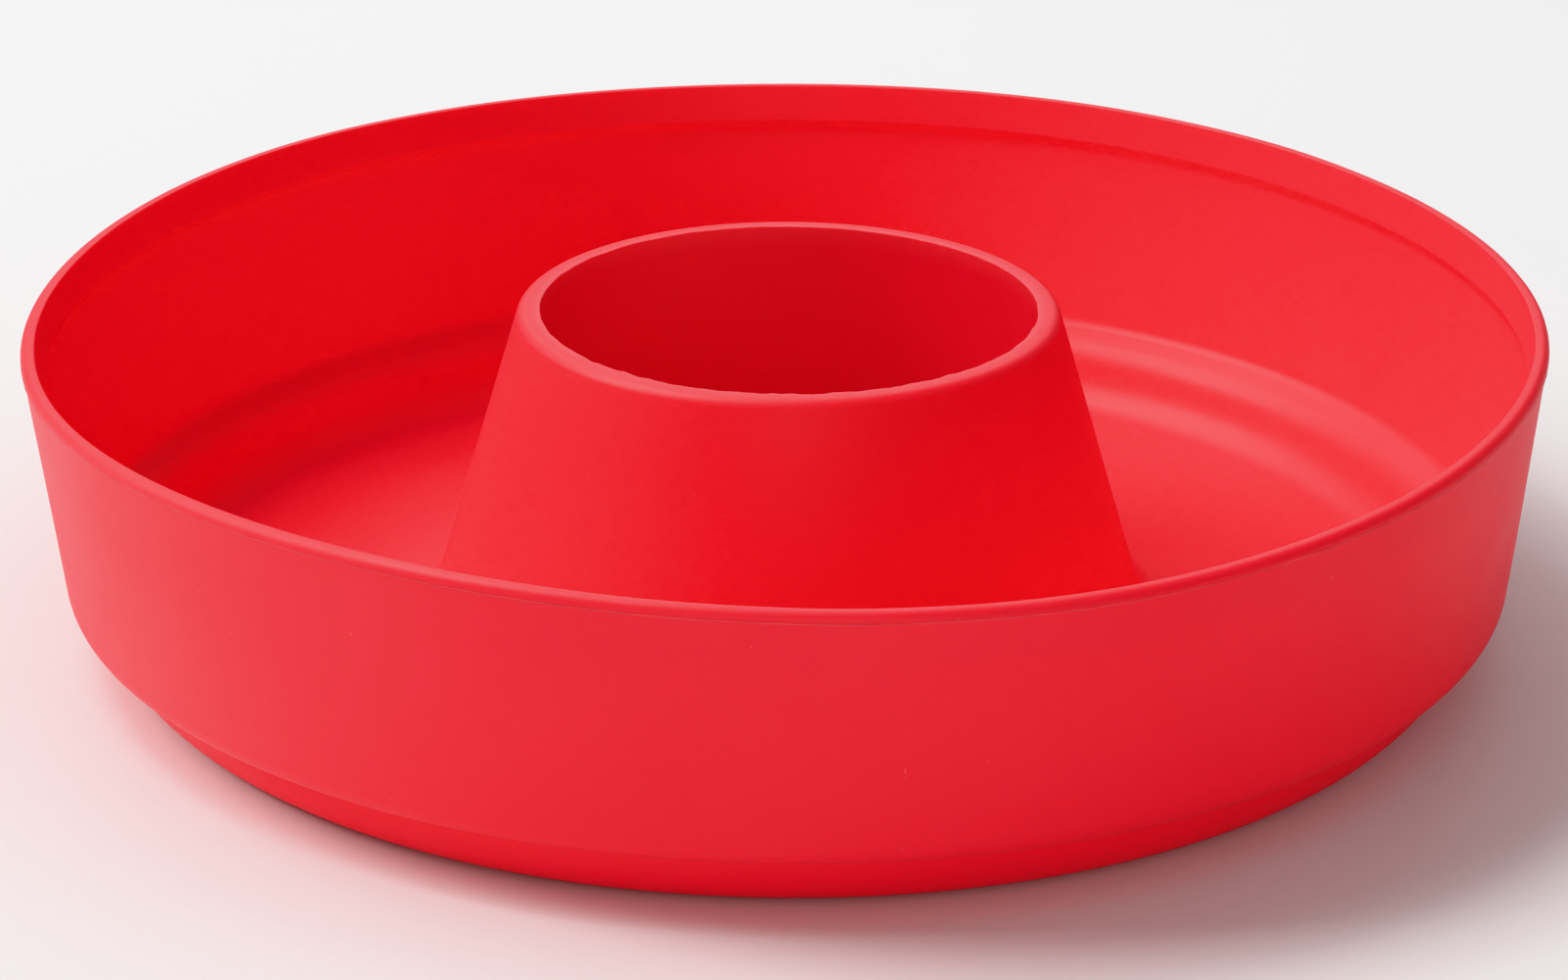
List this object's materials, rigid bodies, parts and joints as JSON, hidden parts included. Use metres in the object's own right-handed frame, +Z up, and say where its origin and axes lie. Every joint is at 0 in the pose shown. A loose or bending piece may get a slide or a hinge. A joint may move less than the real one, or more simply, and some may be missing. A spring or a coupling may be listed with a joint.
{
  "type": "ring cake mould",
  "caption": "Flexible round silicone ring mould with sloping plain sides, a stepped base and an open cone up the middle, for baking ring cakes and bread",
  "frame": {"origin": "centre of the flat underside, on the axis of the ring", "axes": "+Z up through the open side and along the axis of the ring; X and Y are alike, since the mould is round"},
  "size_m": [0.2446, 0.2446, 0.0542],
  "materials": {
    "silicone": "matte, softly sheened"
  },
  "bodies": {
    "root": {"rim_band": "silicone", "side_wall": "silicone", "shoulder_step": "silicone", "floor_pan": "silicone", "cone_foot": "silicone", "centre_cone": "silicone", "cone_lip": "silicone"}
  },
  "joints": []
}
